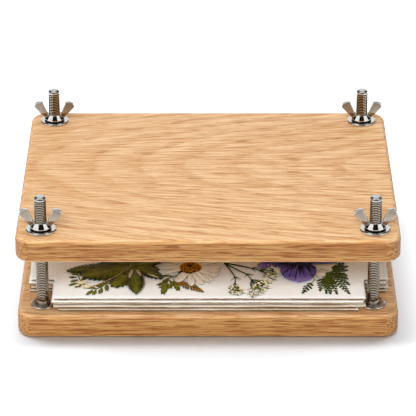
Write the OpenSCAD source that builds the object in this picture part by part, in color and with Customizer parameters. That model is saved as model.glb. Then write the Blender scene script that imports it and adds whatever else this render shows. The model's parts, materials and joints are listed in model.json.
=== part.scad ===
// Flower press: two oak boards on four carriage bolts, closed by four wing nuts.
// Notched blotting sheets and cards lie between the boards, and flowers lie on the top sheet.
// Origin: middle of the underside. +X right, +Y back, +Z up. The press is drawn open.

/* [Boards] */
// Length of both boards, left to right
board_w = 250; // [200:5:320]
// Depth of both boards, front to back
board_d = 203; // [170:1:260]
// Thickness of each board
board_t = 16; // [14:0.5:18]
// Radius of the boards' corners, seen from above
corner_r = 11; // [7:0.5:14]
// Radius of the rounding along the boards' edges
edge_r = 3; // [1.5:0.25:5]
// Clear height between the boards as drawn
opening_h = 39; // [34:0.5:42]

/* [Bolts] */
// Thread diameter of the bolts
bolt_d = 8; // [7:0.1:8.4]
// Bolt length under the head
bolt_length = 90; // [88:1:96]
// From each board edge to the bolt axis
bolt_inset = 16.5; // [15:0.5:20]
// Diameter of the domed bolt head
head_d = 20.5; // [18:0.5:22]
// Height of the domed bolt head
head_h = 4.6; // [3.5:0.1:5.5]
// Side of the square neck under the head
neck_w = 8.4; // [8.4:0.1:9]
// Height of the square neck
neck_h = 4.4; // [3:0.1:5]

/* [Washers] */
// Outer diameter of the washers on the bottom board
lower_washer_d = 16.8; // [14:0.1:17.2]
// Outer diameter of the washers under the wing nuts
upper_washer_d = 20; // [17:0.1:22]
// Thickness of every washer
washer_t = 1.6; // [1:0.1:2.2]

/* [Wing nuts] */
// Distance from wing tip to wing tip
wing_span = 28.6; // [26:0.2:32]
// Height of the wing tips over the washer
wing_h = 13.8; // [12:0.2:15]
// Width of a wing across its tip
wing_w = 7.2; // [6.4:0.1:8]
// Thickness of a wing at its root
wing_root_t = 3.4; // [2.8:0.1:4]
// Thickness of a wing at its tip
wing_tip_t = 2.4; // [1.8:0.1:2.8]
// Largest diameter of the hub
hub_d = 14; // [13:0.1:15.5]
// Diameter of the hub at its top
hub_top_d = 9.6; // [9.4:0.1:11]
// Height of the hub
hub_h = 4.8; // [4.4:0.1:6.4]

/* [Sheets] */
// Thickness of a blotting sheet
blotter_t = 1.2; // [0.8:0.1:1.6]
// Thickness of a card
card_t = 1.5; // [1:0.1:1.8]
// From the side edge of the board to the sheets
sheet_side_gap = 6; // [4:0.5:9]
// From the front and back edge of the board to the sheets
sheet_end_gap = 8; // [6:0.5:11]
// How much smaller a card is on every side
card_inset = 1; // [0.5:0.1:1.8]

/* [Pressed plants] */
// Thickness of a pressed leaf or petal
petal_t = 0.4; // [0.3:0.05:0.45]
// Width of a stalk
stalk_w = 1; // [0.8:0.1:1.4]
// Length of the longest leaflet of the compound leaf
leaflet_l = 44; // [38:0.5:46]
// Radius of the daisy over its longest petal
daisy_r = 26.5; // [22:0.5:27]
// Width of a daisy petal
daisy_petal_w = 6.2; // [5:0.1:7]
// Radius of the daisy's yellow disc
daisy_disc_r = 7.2; // [6:0.2:8]
// Height of the daisy's yellow disc
daisy_disc_h = 2.2; // [1.6:0.1:2.4]
// Length of the pansy's longest petal
pansy_petal_l = 28.5; // [25:0.5:30]
// Length of the longest frond of the fern leaf
fern_l = 38; // [33:0.5:39]
// Length of an umbel's stalk up to its fork
umbel_stalk_l = 21; // [18:0.5:22]

/* [Hidden] */
$fn = 64;

// clearances
overrun = 1;            // every cut runs this far past the face it opens
head_cover = 0.9;       // the bolt head lies this deep inside the underside
head_play = 0.8;        // round the bolt head in its recess
neck_play = 0.05;       // round the square neck in the bottom board
tight_play = 0.2;       // round the bolt in the bottom board
plate_play = 0.5;       // round the bolt in the top board
lower_washer_play = 0.4;
upper_washer_play = 0.25;
thread_play = 0.06;     // between the wing nut and the bolt
sheet_washer_gap = 0.5; // from a washer to the sheets beside it
sheet_bolt_gap = 0.8;   // from a bolt to the sheets over the washers
notch_gap = 14;         // from a bolt back to the edge of the sheets' notch
// small features of the hardware
head_rim_h = 1.2;       // straight rim of the bolt head
tip_chamfer = 1.2;       // at the bolt's free end
washer_edge = 0.35;     // bevel on a washer's edges
foot_step = 1;          // the nut's seat is this much narrower than the hub, all round
foot_h = 0.7;
hub_rim_h = 0.9;
wing_corner_r = 1.2;
wing_lean = 30;         // a wing's end is turned this many degrees from level
wing_low = 2.4;         // height at which a wing leaves the hub
wing_sink = 0.8;        // how deep its lower root lies in the hub
wing_shoulder = 0.4;    // its upper root stands this far outside the hub's top
arc_steps = 8;

// places
bolt_x = board_w / 2 - bolt_inset;
bolt_y = board_d / 2 - bolt_inset;
recess_h = head_h + head_cover;
plate_z = board_t + opening_h;
plate_top_z = plate_z + board_t;
nut_z = plate_top_z + washer_t;
sheet_w = board_w - 2 * sheet_side_gap;
sheet_d = board_d - 2 * sheet_end_gap;
// the four bolts: front left, front right, back left, back right
corners = [[-1, -1], [1, -1], [-1, 1], [1, 1]];

// the sheets from the bottom up: every second one is a card
sheet_count = 7;
sheet_slip = 1;         // the most that a sheet lies off centre
sheet_slip_shares = [[0.1, 0.2], [-0.5, 0.4], [0.9, -0.3], [0.3, 0.6], [-0.4, -0.8], [0.6, 0.3], [0.8, 0]];
function is_card(i) = i % 2 == 1;
function sheet_t(i) = is_card(i) ? card_t : blotter_t;
function sheet_z(i) = i == 0 ? board_t : sheet_z(i - 1) + sheet_t(i - 1);
function beside_washer(i) = sheet_z(i) < board_t + washer_t;
paper_z = sheet_z(sheet_count);

// Outline round the points p, taken anticlockwise, with arcs of radius r about them
function swollen(p, r) =
    [for (i = [0:len(p) - 1])
        let (
            before = p[i] - p[(i + len(p) - 1) % len(p)],
            after = p[(i + 1) % len(p)] - p[i],
            start = atan2(before.y, before.x) - 90,
            sweep = (atan2(after.y, after.x) - 90 - start + 720) % 360
        )
        for (k = [0:arc_steps])
            p[i] + r * [cos(start + sweep * k / arc_steps), sin(start + sweep * k / arc_steps)]];

// A rectangle with four round corners
module round_rect(w, h, r) {
    square([w - 2 * r, h], center = true);
    square([w, h - 2 * r], center = true);
    for (c = corners) translate([c.x * (w / 2 - r), c.y * (h / 2 - r)]) circle(r);
}

// A board with round corners and rounded edges, its underside at z = 0
module slab() translate([0, 0, board_t / 2]) {
    rotate([90, 0, 90]) linear_extrude(board_w - 2 * corner_r, center = true) round_rect(board_d, board_t, edge_r);
    rotate([90, 0, 0]) linear_extrude(board_d - 2 * corner_r, center = true) round_rect(board_w, board_t, edge_r);
    for (c = corners) translate([c.x * (board_w / 2 - corner_r), c.y * (board_d / 2 - corner_r)])
        rotate_extrude() intersection() {
            round_rect(2 * corner_r, board_t, edge_r);
            translate([0, -board_t / 2]) square([corner_r, board_t]);
        }
}

module at_bolt(i) translate([corners[i].x * bolt_x, corners[i].y * bolt_y]) children();

// The bottom board: each bolt hole has a square socket for the neck and a round recess for the head
module bottom_board() color("burlywood") difference() {
    slab();
    for (i = [0:3]) at_bolt(i) {
        translate([0, 0, -overrun]) cylinder(d = head_d + 2 * head_play, h = recess_h + overrun);
        translate([0, 0, recess_h - overrun]) linear_extrude(neck_h + neck_play + overrun)
            square(neck_w + 2 * neck_play, center = true);
        cylinder(d = bolt_d + 2 * tight_play, h = board_t + overrun);
    }
}

module top_board() color("burlywood") translate([0, 0, plate_z]) difference() {
    slab();
    for (i = [0:3]) at_bolt(i)
        translate([0, 0, -overrun]) cylinder(d = bolt_d + 2 * plate_play, h = board_t + 2 * overrun);
}

// A carriage bolt, head down: a shallow dome with a straight rim, a square neck and a chamfered shank
module bolt(i) color("silver") at_bolt(i) {
    dome_h = head_h - head_rim_h;
    dome_r = (head_d * head_d / 4 + dome_h * dome_h) / 2 / dome_h;
    translate([0, 0, head_cover]) intersection() {
        cylinder(d = head_d, h = head_h);
        translate([0, 0, dome_r]) sphere(dome_r, $fn = 2 * $fn);
    }
    translate([0, 0, recess_h]) linear_extrude(neck_h) square(neck_w, center = true);
    translate([0, 0, recess_h]) rotate_extrude() polygon([
        [0, 0], [bolt_d / 2, 0], [bolt_d / 2, bolt_length - tip_chamfer], [bolt_d / 2 - tip_chamfer, bolt_length], [0, bolt_length]
    ]);
}

// A flat washer with bevelled edges round the bolt
module washer(i, outer_d, play, z) color("gainsboro") at_bolt(i) translate([0, 0, z]) rotate_extrude() {
    inner = bolt_d / 2 + play;
    outer = outer_d / 2;
    polygon([
        [inner, 0], [outer - washer_edge, 0], [outer, washer_edge], [outer, washer_t - washer_edge],
        [outer - washer_edge, washer_t], [inner, washer_t]
    ]);
}

// One wing, growing along +X out of the hub: wider and thinner to its tip
module wing() {
    tip = [wing_span / 2 - wing_corner_r, wing_h - wing_corner_r - (wing_w - 2 * wing_corner_r) * sin(wing_lean)];
    outline = [
        [hub_d / 2 - wing_sink, wing_low],
        tip,
        tip + (wing_w - 2 * wing_corner_r) * [-cos(wing_lean), sin(wing_lean)],
        [hub_top_d / 2 + wing_shoulder, hub_h - wing_corner_r]
    ];
    intersection() {
        rotate([90, 0, 0]) linear_extrude(wing_root_t, center = true) polygon(swollen(outline, wing_corner_r));
        linear_extrude(wing_h) polygon([
            [0, -wing_root_t / 2], [hub_d / 2, -wing_root_t / 2], [wing_span / 2, -wing_tip_t / 2],
            [wing_span / 2, wing_tip_t / 2], [hub_d / 2, wing_root_t / 2], [0, wing_root_t / 2]
        ]);
    }
}

// A wing nut: a conical hub on a narrower foot, two wings and the bore for the thread
module wing_nut(i) color("silver") at_bolt(i) translate([0, 0, nut_z]) difference() {
    union() {
        rotate_extrude() polygon([
            [0, 0], [hub_d / 2 - foot_step, 0], [hub_d / 2 - foot_step, foot_h], [hub_d / 2, foot_h],
            [hub_d / 2, foot_h + hub_rim_h], [hub_top_d / 2, hub_h], [0, hub_h]
        ]);
        for (turn = [0, 180]) rotate(turn) wing();
    }
    translate([0, 0, -overrun]) cylinder(d = bolt_d + 2 * thread_play, h = wing_h + 2 * overrun);
}

// A sheet with its four corners cut out round the bolts; a card is smaller all round
module sheet(i) color(is_card(i) ? "tan" : "ivory")
    translate([sheet_slip_shares[i].x * sheet_slip, sheet_slip_shares[i].y * sheet_slip, sheet_z(i)])
        linear_extrude(sheet_t(i)) {
            inset = is_card(i) ? card_inset : 0;
            bolt_gap = beside_washer(i) ? lower_washer_d / 2 + sheet_washer_gap : bolt_d / 2 + sheet_bolt_gap;
            square([sheet_w - 2 * inset, 2 * (bolt_y - bolt_d / 2 - notch_gap - inset)], center = true);
            square([2 * (bolt_x - bolt_gap - sheet_slip - inset), sheet_d - 2 * inset], center = true);
        }

// Puts a flat plant on the top sheet: its place is a share of the sheet's width and depth from the
// middle, and level counts the petals' thicknesses below it
module lay(shares, level = 0)
    translate([shares.x * sheet_w, shares.y * sheet_d, paper_z + level * petal_t]) children();

// A leaf blade along +X with n teeth on each side
tooth_share = 0.05;     // a tooth's height, of the blade's length
function blade_half(t, w) = w / 2 * pow(sin(180 * t), 0.7);
function blade_side(l, w, n, side) =
    [for (i = [0:n - 1]) each [
        [l * (i + 0.25) / n, side * blade_half((i + 0.25) / n, w)],
        [l * (i + 0.9) / n, side * (blade_half((i + 0.75) / n, w) + l * tooth_share * (n - i - 0.8) / n)]
    ]];
function backwards(p) = [for (i = [len(p) - 1:-1:0]) p[i]];
module blade(l, w, n)
    polygon(concat([[0, 0]], blade_side(l, w, n, -1), [[l, 0]], backwards(blade_side(l, w, n, 1))));

// A small pointed leaflet along +X
lance_shares = [[0, -0.2], [0.35, -0.5], [0.7, -0.38], [1, 0], [0.7, 0.38], [0.35, 0.5], [0, 0.2]];
module lance(l, w) polygon([for (q = lance_shares) [q.x * l, q.y * w]]);

// A straight stalk between two points
module stalk(a, b, w) {
    across = [a.y - b.y, b.x - a.x] / norm(b - a) * w / 2;
    polygon([a - across, b - across, b + across, a + across]);
}

// A frond along +X: a tapering rib with n leaflets on each side, longest near its foot
frond_lean = 58;        // degrees between the rib and a leaflet
frond_widest_share = 0.3;
frond_rib_share = 0.07;
leaflet_share = 0.62;   // a leaflet's width, of the distance to the next one
function frond_reach(t, w) =
    w / 2 / sin(frond_lean) * (t < frond_widest_share
        ? 0.6 + 0.4 * t / frond_widest_share
        : pow((1 - t) / (1 - frond_widest_share), 0.8));
module frond(l, w, n) {
    rib = w * frond_rib_share;
    polygon([[0, -rib / 2], [l, -rib / 8], [l, rib / 8], [0, rib / 2]]);
    for (i = [1:n], side = [-1, 1])
        translate([l * (i - 0.5) / n, 0]) rotate(side * frond_lean)
            lance(frond_reach((i - 0.5) / n, w), l / n * leaflet_share);
    translate([l * (n - 1) / n, 0]) lance(l / n, l / n * leaflet_share);
}

// A petal along +X: narrow at its foot, broadest past the middle, with a round end
petal_widest_share = 0.62;
petal_steps = 12;
function petal_half(t, w, foot) = t < petal_widest_share
    ? foot / 2 + (w - foot) / 2 * sin(90 * t / petal_widest_share)
    : w / 2 * sqrt(max(0, 1 - pow((t - petal_widest_share) / (1 - petal_widest_share), 2)));
module petal(l, w, foot) {
    side = [for (i = [0:petal_steps - 1]) [l * i / petal_steps, petal_half(i / petal_steps, w, foot)]];
    polygon(concat([for (q = side) [q.x, -q.y]], [[l, 0]], backwards(side)));
}

// Tiny blossoms in a spiral, ring apart
blossom_h = 0.9;
blossom_share = 0.64;   // a blossom's radius, of the ring
golden_turn = 137.5;
module blossoms(count, ring) for (k = [0:count - 1])
    rotate(golden_turn * k) translate([ring * sqrt(k), 0]) cylinder(r = ring * blossom_share, h = blossom_h, $fn = 16);

// Toothed leaflets round one hub
compound_leaf_shares = [-0.208, -0.265];
leaflet_turns = [187, 203, 243, 274, 322, 346, 25, 70, 115, 155];
leaflet_length_shares = [1, 0.79, 0.72, 0.87, 0.56, 0.45, 0.5, 0.66, 0.7, 0.6];
leaflet_width_shares = [0.38, 0.52, 0.34, 0.26, 0.19, 0.2, 0.22, 0.3, 0.34, 0.3];
leaflet_teeth = 8;
module compound_leaf() color("darkolivegreen") lay(compound_leaf_shares, 1) linear_extrude(petal_t)
    for (i = [0:len(leaflet_turns) - 1]) rotate(leaflet_turns[i])
        blade(leaflet_l * leaflet_length_shares[i], leaflet_l * leaflet_width_shares[i], leaflet_teeth);

// A frond bent back near its end, with a cluster of tiny blossoms at the bend
blossom_sprig_shares = [-0.256, -0.355];
sprig_l = 27;
sprig_width_share = 0.63;
sprig_turn = 211;
sprig_bend = -86;
sprig_end_share = 0.62;
sprig_leaflets = 6;
sprig_blossoms = 9;
sprig_ring_share = 0.052;
module blossom_sprig() color("olivedrab") lay(blossom_sprig_shares) rotate(sprig_turn) {
    end_l = sprig_l * sprig_end_share;
    linear_extrude(petal_t) frond(sprig_l, sprig_l * sprig_width_share, sprig_leaflets);
    translate([sprig_l * (1 - 1 / sprig_leaflets), 0]) rotate(sprig_bend) {
        linear_extrude(petal_t) frond(end_l, end_l * sprig_width_share, sprig_leaflets);
        blossoms(sprig_blossoms, sprig_l * sprig_ring_share);
    }
}

// Deeply lobed leaves that spread from one stalk
parsley_shares = [-0.121, -0.358];
parsley_l = 21;
parsley_turns = [267, 240, 292, 335, 30];
parsley_length_shares = [1, 0.62, 0.88, 0.5, 0.7];
parsley_width_share = 0.75;
parsley_leaflets = 4;
module parsley_sprig() color("olivedrab") lay(parsley_shares) linear_extrude(petal_t)
    for (i = [0:len(parsley_turns) - 1]) rotate(parsley_turns[i]) {
        lobe_l = parsley_l * parsley_length_shares[i];
        frond(lobe_l, lobe_l * parsley_width_share, parsley_leaflets);
    }

brown_fern_shares = [-0.087, -0.378];
brown_fern_l = 23.5;
brown_fern_width_share = 0.47;
brown_fern_leaflets = 8;
brown_fern_turn = 318.6;
module brown_fern_tip() color("peru") lay(brown_fern_shares, 1) linear_extrude(petal_t)
    rotate(brown_fern_turn) frond(brown_fern_l, brown_fern_l * brown_fern_width_share, brown_fern_leaflets);

// Daisy: one ring of petals of uneven length and spacing round a domed disc
daisy_shares = [-0.049, -0.281];
daisy_turns = [270, 286, 301, 315, 328, 342, 357, 14, 34, 56, 78, 100, 122, 146, 170, 210, 244];
daisy_length_shares = [0.95, 1, 0.95, 0.92, 0.88, 0.94];
daisy_foot_share = 0.4;
module daisy_petals() color("ivory") lay(daisy_shares, 2) linear_extrude(petal_t) {
    circle(daisy_disc_r);
    for (i = [0:len(daisy_turns) - 1]) rotate(daisy_turns[i])
        petal(daisy_r * daisy_length_shares[i % len(daisy_length_shares)], daisy_petal_w,
            daisy_petal_w * daisy_foot_share);
}
module daisy_disc() color("goldenrod") lay(daisy_shares, 3) {
    dome_r = (daisy_disc_r * daisy_disc_r + daisy_disc_h * daisy_disc_h) / 2 / daisy_disc_h;
    intersection() {
        cylinder(r = daisy_disc_r, h = daisy_disc_h);
        translate([0, 0, daisy_disc_h - dome_r]) sphere(dome_r, $fn = 2 * $fn);
    }
}

// Umbels: three stalks from one foot, each bent once, with rays that end in a head of tiny blossoms
umbel_shares = [0.046, -0.24];
umbel_turns = [289, 313, 337];
umbel_length_shares = [1, 1, 0.93];
umbel_head_turns = [271, 292, 330];
umbel_head_shares = [0.9, 1.02, 0.68];
umbel_head_counts = [14, 20, 12];
umbel_ring_share = 0.067;
umbel_ray_share = 0.45;
umbel_ray_turns = [-32, -12, 12, 32];
module umbel_spray() color("palegoldenrod") lay(umbel_shares) for (i = [0:len(umbel_turns) - 1])
    rotate(umbel_turns[i]) {
        bend = umbel_stalk_l * umbel_length_shares[i];
        reach = umbel_stalk_l * umbel_head_shares[i];
        ray = reach * umbel_ray_share;
        linear_extrude(petal_t) stalk([0, 0], [bend + stalk_w / 4, 0], stalk_w);
        translate([bend, 0]) rotate(umbel_head_turns[i] - umbel_turns[i]) {
            linear_extrude(petal_t) {
                stalk([0, 0], [reach, 0], stalk_w);
                for (turn = umbel_ray_turns)
                    stalk([reach - ray, 0], [reach - ray + ray * cos(turn), ray * sin(turn)], stalk_w / 2);
            }
            translate([reach, 0]) blossoms(umbel_head_counts[i], umbel_stalk_l * umbel_ring_share);
        }
    }

// Fern leaf: fronds that spread from one foot
fern_shares = [0.33, -0.272];
fern_turns = [246, 258, 269, 282, 295, 309, 332, 15];
fern_length_shares = [1, 0.73, 0.9, 0.91, 0.97, 0.62, 0.4, 0.42];
fern_width_share = 0.263;
fern_leaflets = 7;
module fern_leaf() color("darkgreen") lay(fern_shares) linear_extrude(petal_t)
    for (i = [0:len(fern_turns) - 1]) rotate(fern_turns[i])
        frond(fern_l * fern_length_shares[i], fern_l * fern_width_share, fern_leaflets);

// Pansy: pale petals below violet ones, each a length, a width and a turn
pansy_shares = [0.262, -0.232];
pale_turns = [223, 300, 318, 342];
pale_length_shares = [0.65, 1, 0.92, 0.93];
pale_width_shares = [0.4, 0.5, 0.42, 0.42];
violet_turns = [269, 197, 356, 55, 118];
violet_length_shares = [0.98, 1, 0.92, 0.9, 0.9];
violet_width_shares = [0.84, 0.4, 0.44, 0.75, 0.75];
pansy_foot_share = 0.2;
module pansy_petals(turns, length_shares, width_shares) linear_extrude(petal_t)
    for (i = [0:len(turns) - 1]) rotate(turns[i])
        petal(pansy_petal_l * length_shares[i], pansy_petal_l * width_shares[i], pansy_petal_l * pansy_foot_share);
module pansy_pale_petals() color("lightgray") lay(pansy_shares, 1)
    pansy_petals(pale_turns, pale_length_shares, pale_width_shares);
module pansy_violet_petals() color("rebeccapurple") lay(pansy_shares, 2)
    pansy_petals(violet_turns, violet_length_shares, violet_width_shares);

bottom_board();
top_board();
bolt(0);  // bolt_front_left
bolt(1);  // bolt_front_right
bolt(2);  // bolt_back_left
bolt(3);  // bolt_back_right
washer(0, lower_washer_d, lower_washer_play, board_t);  // lower_washer_front_left
washer(1, lower_washer_d, lower_washer_play, board_t);  // lower_washer_front_right
washer(2, lower_washer_d, lower_washer_play, board_t);  // lower_washer_back_left
washer(3, lower_washer_d, lower_washer_play, board_t);  // lower_washer_back_right
washer(0, upper_washer_d, upper_washer_play, plate_top_z);  // upper_washer_front_left
washer(1, upper_washer_d, upper_washer_play, plate_top_z);  // upper_washer_front_right
washer(2, upper_washer_d, upper_washer_play, plate_top_z);  // upper_washer_back_left
washer(3, upper_washer_d, upper_washer_play, plate_top_z);  // upper_washer_back_right
wing_nut(0);  // wing_nut_front_left
wing_nut(1);  // wing_nut_front_right
wing_nut(2);  // wing_nut_back_left
wing_nut(3);  // wing_nut_back_right
sheet(0);  // blotting_sheet_1
sheet(1);  // card_1
sheet(2);  // blotting_sheet_2
sheet(3);  // card_2
sheet(4);  // blotting_sheet_3
sheet(5);  // card_3
sheet(6);  // blotting_sheet_4
compound_leaf();
blossom_sprig();
parsley_sprig();
brown_fern_tip();
daisy_petals();
daisy_disc();
umbel_spray();
fern_leaf();
pansy_pale_petals();
pansy_violet_petals();
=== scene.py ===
import json
from math import atan, atan2, copysign, cos, degrees, exp, log, pi, radians, sin, sqrt, tan

import bmesh
import bpy
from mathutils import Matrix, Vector, noise

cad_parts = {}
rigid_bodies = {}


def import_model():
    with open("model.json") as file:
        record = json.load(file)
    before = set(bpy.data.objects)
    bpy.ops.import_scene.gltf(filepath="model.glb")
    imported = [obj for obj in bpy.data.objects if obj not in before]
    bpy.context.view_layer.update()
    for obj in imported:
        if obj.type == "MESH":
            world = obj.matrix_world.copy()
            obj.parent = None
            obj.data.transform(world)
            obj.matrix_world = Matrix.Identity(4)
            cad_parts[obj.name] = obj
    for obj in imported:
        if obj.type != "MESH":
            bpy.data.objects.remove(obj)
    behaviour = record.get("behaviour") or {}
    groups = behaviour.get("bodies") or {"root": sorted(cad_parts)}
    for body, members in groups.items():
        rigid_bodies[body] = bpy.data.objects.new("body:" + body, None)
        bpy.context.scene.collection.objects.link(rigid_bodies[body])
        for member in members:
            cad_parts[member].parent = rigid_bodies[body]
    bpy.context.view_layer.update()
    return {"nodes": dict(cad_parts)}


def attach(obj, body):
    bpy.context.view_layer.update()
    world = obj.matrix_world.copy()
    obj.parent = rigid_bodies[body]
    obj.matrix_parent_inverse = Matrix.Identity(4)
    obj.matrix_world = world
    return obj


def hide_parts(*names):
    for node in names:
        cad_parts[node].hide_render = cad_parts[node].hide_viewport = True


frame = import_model()
print("frame loaded:", len(frame["nodes"]), "nodes")

# every size below is in millimetres, and addPiece turns it into metres
layout = {
    "boltX": 108.5, "boltY": 85.0, "boardTop": 16.0, "plateTop": 71.0, "nutSeat": 72.6, "sheetW": 238.0,
    "sheetD": 187.0, "paperTop": 25.3, "petalStep": 0.4}
# where the bolts stand
corners = {f"{y}_{x}": (layout["boltX"] * (-1, 1)[x == "right"], layout["boltY"] * (-1, 1)[y == "back"])
           for y in ("front", "back") for x in ("left", "right")}
camera = {"lens": 224.58, "elevation": 26.4, "distance": 1.7727, "targetHeight": 0.0447}


def addObject(name, data):
    made = bpy.data.objects.new(name, data)
    bpy.context.scene.collection.objects.link(made)
    return made


def setCamera():
    data = bpy.data.cameras.new("studioCamera")
    data.lens = camera["lens"]
    data.sensor_width = 36
    data.clip_end = 30
    made = addObject("studioCamera", data)
    tilt = radians(camera["elevation"])
    made.location = (0, -camera["distance"] * cos(tilt),
                     camera["targetHeight"] + camera["distance"] * sin(tilt))
    made.rotation_euler = (pi / 2 - tilt, 0, 0)
    bpy.context.scene.camera = made
    bpy.context.scene.view_settings.view_transform = "Standard"


setCamera()
print("camera set")

# node helpers: work holds the tree at hand, and sockets and plain values go in by name or number
work = {"tree": None}


class Wire:
    # a node's output; arithmetic on it makes math nodes
    def __init__(self, socket):
        self.socket = socket

    def __add__(self, other):
        return calc("ADD", self, other)

    def __sub__(self, other):
        return calc("SUBTRACT", self, other)

    def __rsub__(self, other):
        return calc("SUBTRACT", other, self)

    def __mul__(self, other):
        return calc("MULTIPLY", self, other)

    def __truediv__(self, other):
        return calc("DIVIDE", self, other)

    def __abs__(self):
        return calc("ABSOLUTE", self)


def feed(made, values):
    for key, value in values.items():
        if isinstance(value, Wire):
            work["tree"].links.new(value.socket, made.inputs[key])
        else:
            made.inputs[key].default_value = value


def put(kind, values=None, **settings):
    made = work["tree"].nodes.new("ShaderNode" + kind)
    for key, value in settings.items():
        setattr(made, key, value)
    feed(made, values or {})
    return made.outputs


def wire(kind, values=None, output=0, **settings):
    return Wire(put(kind, values, **settings)[output])


def calc(operation, *values):
    return wire("Math", dict(enumerate(values)), operation=operation)


def vectorCalc(operation, *values):
    return wire("VectorMath", dict(enumerate(values)), operation=operation)


def split(vector):
    return [Wire(socket) for socket in put("SeparateXYZ", {0: vector})]


def steepness():
    # 1 where a face looks straight up or down, 0 where it is upright
    return abs(split(wire("NewGeometry", output="Normal"))[2])


def rgb(*colour):
    # turned into the linear values that a shader takes
    return tuple(c / 12.92 if c <= 0.04045 else ((c + 0.055) / 1.055) ** 2.4
                 for c in (part / 255 for part in colour)) + (1.0,)


def ramp(factor, *stops):
    output = put("ValToRGB", {"Fac": factor})[0]
    steps = output.node.color_ramp.elements
    while len(steps) < len(stops):
        steps.new(0.5)
    for step, (place, value) in zip(steps, stops):
        step.position = place
        step.color = (value, value, value, 1)
    return Wire(output)


def blend(factor, first, second, way="MIX"):
    # a plain colour is given as seen on screen, three numbers from 0 to 255
    first, second = [value if isinstance(value, Wire) else rgb(*value) for value in (first, second)]
    return wire("Mix", {"Factor": factor, 6: first, 7: second}, 2, data_type="RGBA", blend_type=way)


def noiseAt(vector, scale, detail=2.0, rough=0.5):
    # a scale of two or three numbers stretches the noise; the last number also goes for what is left out
    if isinstance(scale, tuple):
        vector, scale = vectorCalc("MULTIPLY", vector, (*scale, scale[-1])[:3]), 1.0
    return wire("TexNoise", {"Vector": vector, "Scale": scale, "Detail": detail, "Roughness": rough}, "Fac")


def newFinish(name):
    # the nodes made from here on go into this finish
    finish = bpy.data.materials.new(name)
    finish.use_nodes = True
    work["tree"] = finish.node_tree
    return finish, wire("TexCoord", output="Object")


def dress(finish, colour, roughness, bump=None, shine=0.5, metallic=0.0):
    # bump gives the height, the strength, the depth and, if need be, the normal it starts from
    values = {"Base Color": colour, "Roughness": roughness, "Specular IOR Level": shine,
              "Metallic": metallic}
    if bump:
        values["Normal"] = wire("Bump", dict(zip(("Height", "Strength", "Distance", "Normal"), bump)))
    feed(work["tree"].nodes["Principled BSDF"], values)
    return finish


studio = {
    "fill": 0.38, "fillColour": (1.0, 0.985, 0.96, 1), "lampColour": (0.972, 1.0, 1.042),
    "floorColour": (0.83, 0.87, 0.915, 1), "flagColour": (0.015, 0.014, 0.013, 1), "flagDistance": 2.4,
    # place, width and depth, watts, and whether it has the lamp colour
    "lamps": {"overLamp": ((-0.36, 0.42, 2.2), (1.3, 1.2), 11, False),
        "frontLamp": ((-0.35, -1.8, 1.56), (1.7, 1.1), 48, True),
        "sideLamp": ((-2.2, -0.6, 0.9), (0.9, 1.1), 7, True),
        "floorLamp": ((-0.06, 0.24, 2.2), (1.4, 0.3), 29, False),
        "tailLamp": ((-0.1, 0.85, 2.2), (1.6, 1.4), 13, False),
        "leftLamp": ((-1.5, 0.9, 1.2), (0.9, 0.9), 17, False),
        "rightLamp": ((1.5, 0.9, 1.2), (0.9, 0.9), 10, False),
        "lowLamp": ((-0.4, -2.1, 0.75), (1.6, 0.3), 37, True)},
    # what each lamp lights or leaves out: the floor is lit from above alone and keeps one soft shadow
    "links": {"allButFloor": (["floor"], ["sideLamp"], "EXCLUDE"),
        "onlyFloor": (["floor"], ["floorLamp", "tailLamp", "leftLamp", "rightLamp"], "INCLUDE"),
        "plateUp": (["board", "floor"], ["frontLamp"], "EXCLUDE"),
        "onlyBoard": (["board"], ["lowLamp"], "INCLUDE")},
    # azimuth, elevation, width and height in degrees
    "flags": {"flagFront": (5, 34, 52, 62), "flagTop": (131, 72, 30, 26), "flagRight": (122, 30, 56, 66),
        "flagLeft": (-122, 30, 56, 66)}}


def setWorld():
    world = bpy.data.worlds.new("studioWorld")
    bpy.context.scene.world = world
    world.use_nodes = True
    work["tree"] = world.node_tree
    world.node_tree.nodes.clear()
    rays = put("LightPath")
    seen, glossy, through = [Wire(rays[f"Is {kind} Ray"]) for kind in ("Camera", "Glossy", "Transmission")]
    seen = calc("MAXIMUM", calc("MAXIMUM", seen, glossy), through)
    fill = wire("Background", {"Color": studio["fillColour"], "Strength": studio["fill"]})
    white = wire("Background", {"Color": (1, 1, 1, 1), "Strength": 1.0})
    put("OutputWorld", {0: wire("MixShader", {0: seen, 1: fill, 2: white})})


def addLamp(name, place, size, watts, tinted):
    data = bpy.data.lights.new(name, "AREA")
    data.shape = "RECTANGLE"
    data.size, data.size_y = size
    data.energy = watts
    data.color = studio["lampColour"] if tinted else (1, 1, 1)
    lamp = addObject(name, data)
    lamp.location = place
    aim = Vector((0, 0, 0.04)) - Vector(place)
    lamp.rotation_euler = aim.to_track_quat("-Z", "Y").to_euler()
    lamp.visible_camera = False
    lamp.visible_glossy = False
    return lamp


def addMattCard(name, width, height, finishName, colour, roughness):
    mesh = bpy.data.meshes.new(name)
    square = [(x * width / 2, y * height / 2, 0) for x, y in ((-1, -1), (1, -1), (1, 1), (-1, 1))]
    mesh.from_pydata(square, [], [(0, 1, 2, 3)])
    mesh.materials.append(dress(newFinish(finishName)[0], colour, roughness, shine=0.0))
    made = addObject(name, mesh)
    return made


def addFlag(name, azimuth, elevation, *angles):
    # a black card that only reflections show: it draws the dark bands on polished metal
    turn, rise = radians(azimuth), radians(elevation)
    middle = Vector((sin(turn) * cos(rise), -cos(turn) * cos(rise), sin(rise))) * studio["flagDistance"]
    width, height = [2 * studio["flagDistance"] * tan(radians(angle / 2)) for angle in angles]
    flag = addMattCard(name, width, height, name + "Black", studio["flagColour"], 1.0)
    flag.location = middle
    flag.rotation_euler = (-middle).to_track_quat("-Z", "Y").to_euler()
    for kind in ("camera", "diffuse", "shadow", "transmission"):
        setattr(flag, "visible_" + kind, False)


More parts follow.
